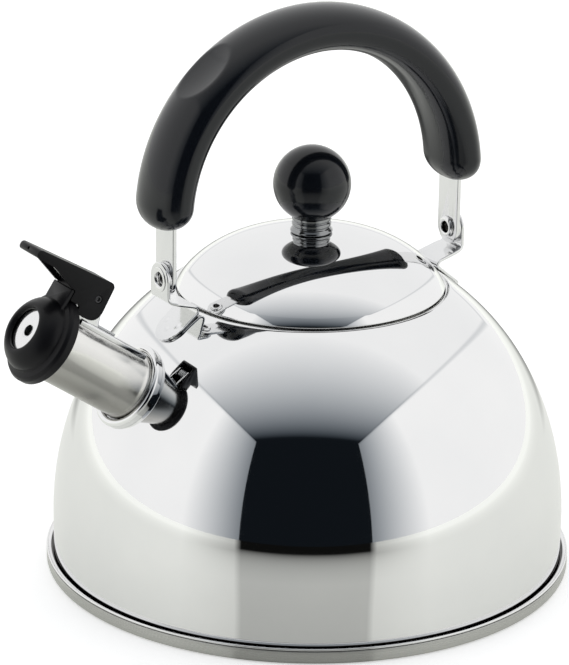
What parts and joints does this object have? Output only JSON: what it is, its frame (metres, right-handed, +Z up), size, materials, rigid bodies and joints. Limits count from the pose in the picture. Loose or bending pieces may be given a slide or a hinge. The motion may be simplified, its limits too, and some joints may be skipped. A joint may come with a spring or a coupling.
{
  "type": "stovetop whistling kettle",
  "caption": "Domed stainless steel stovetop kettle with a black arch handle that folds down, a lift-off lid with a ball knob, and a sprung whistle cap on its angled spout.",
  "frame": {"origin": "centre of the flat underside that rests on the stove", "axes": "+Z up out of the lid, -X towards the spout and whistle, and +Y square to the plane that the handle stands in"},
  "size_m": [0.2154, 0.19, 0.2063],
  "materials": {
    "mirror_steel": "mirror polished stainless steel",
    "satin_steel": "satin stainless steel, brushed round its axis",
    "bright_steel": "bright pressed stainless steel",
    "heat_spreader": "plain rolled aluminium",
    "insert_brass": "turned brass",
    "spring_steel": "drawn spring wire",
    "black_phenolic": "glossy moulded phenolic",
    "black_nylon": "semi-gloss moulded nylon"
  },
  "bodies": {
    "kettle_body": {"base_cover": "satin_steel", "base_core": "heat_spreader", "bottom_pan": "mirror_steel", "dome_shell": "mirror_steel", "spout_collar": "mirror_steel", "spout_tube": "satin_steel", "spout_bracket": "bright_steel", "whistle_pin": "bright_steel", "whistle_spring": "spring_steel", "front_handle_bracket": "bright_steel", "front_pivot_rivet": "bright_steel", "front_pivot_washer": "bright_steel", "rear_handle_bracket": "bright_steel", "rear_pivot_rivet": "bright_steel", "rear_pivot_washer": "bright_steel"},
    "lid": {"lid_shell": "mirror_steel", "lid_skirt": "satin_steel", "knob_stem": "bright_steel", "knob_ball": "black_phenolic", "knob_insert": "insert_brass", "knob_washer": "bright_steel", "knob_screw": "bright_steel"},
    "handle": {"handle_grip": "black_phenolic", "front_handle_strip": "bright_steel", "rear_handle_strip": "bright_steel"},
    "whistle": {"whistle_cap": "black_nylon", "whistle_front_disc": "bright_steel", "whistle_spacer": "heat_spreader", "whistle_rear_disc": "bright_steel", "whistle_lever": "black_nylon"}
  },
  "joints": [
    {"name": "handle_fold", "type": "hinge", "parent": "kettle_body", "child": "handle", "pos_m": [0, 0, 0.1164], "axis": [1, 0, 0], "range_deg": [-95, 95]},
    {"name": "whistle_open", "type": "hinge", "parent": "kettle_body", "child": "whistle", "pos_m": [-0.08928, 0, 0.1156], "axis": [0, 1, 0], "range_deg": [0, 70], "stiffness_Nm_per_rad": 0.03, "springref_deg": -28.65},
    {"name": "lid_lift", "type": "slide", "parent": "kettle_body", "child": "lid", "axis": [0, 0, 1], "range_m": [0, 0.03]}
  ]
}
